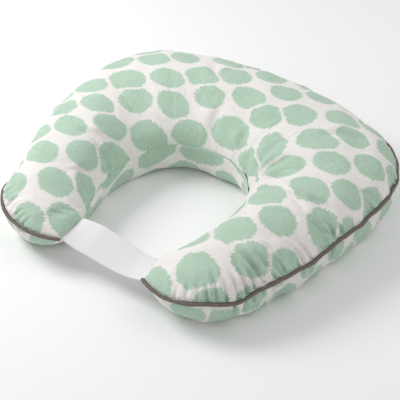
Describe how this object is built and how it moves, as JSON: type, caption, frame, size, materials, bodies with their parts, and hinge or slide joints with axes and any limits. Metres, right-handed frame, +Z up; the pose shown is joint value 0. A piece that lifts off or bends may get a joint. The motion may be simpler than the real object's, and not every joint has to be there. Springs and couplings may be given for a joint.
{
  "type": "nursing pillow",
  "caption": "C-shaped stuffed nursing pillow in a zipped oval-print cotton cover with piped outer seam and an elastic waist band between the tips.",
  "frame": {"origin": "on the floor, under the middle of the pillow's bounding box", "axes": "+Z up, +X to the right across the pillow, +Y to the back of the C; the waist opening faces -Y"},
  "size_m": [0.5704, 0.5212, 0.1221],
  "materials": {
    "print_cotton": "plain-weave cotton, off-white with sage green ovals",
    "liner_cotton": "plain white lining cotton",
    "polyester_fibre": "white siliconised hollow fibre",
    "piping_twill": "taupe bias-cut cotton",
    "piping_core": "soft white cotton cord",
    "elastic_webbing": "white woven ribbed elastic",
    "zip_tape": "white knitted polyester zip tape",
    "zip_coil": "white nylon coil",
    "zip_metal": "white enamelled zinc, slightly worn at the edges",
    "label_satin": "white satin ribbon, blank"
  },
  "bodies": {
    "pillow": {"cover_top_panel": "print_cotton", "cover_bottom_panel": "print_cotton", "liner_top_panel": "liner_cotton", "liner_bottom_panel": "liner_cotton", "fibre_filling": "polyester_fibre", "piping_tape": "piping_twill", "piping_cord": "piping_core", "waist_band": "elastic_webbing", "zip_upper_tape": "zip_tape", "zip_lower_tape": "zip_tape", "zip_upper_coil": "zip_coil", "zip_lower_coil": "zip_coil", "zip_top_stop_upper": "zip_metal", "zip_top_stop_lower": "zip_metal", "zip_bottom_stop": "zip_metal", "care_label": "label_satin"},
    "zip_slider": {"zip_slider": "zip_metal"},
    "zip_pull": {"zip_pull": "zip_metal"}
  },
  "joints": [
    {"name": "zip_run", "type": "hinge", "parent": "pillow", "child": "zip_slider", "pos_m": [0, -0.24247, 0.0545], "axis": [0, 0, 1], "range_deg": [0, 38.4]},
    {"name": "pull_swing", "type": "hinge", "parent": "zip_slider", "child": "zip_pull", "pos_m": [0.16461, 0.22902, 0.0545], "axis": [0, 0, -1], "range_deg": [0, 170]}
  ]
}
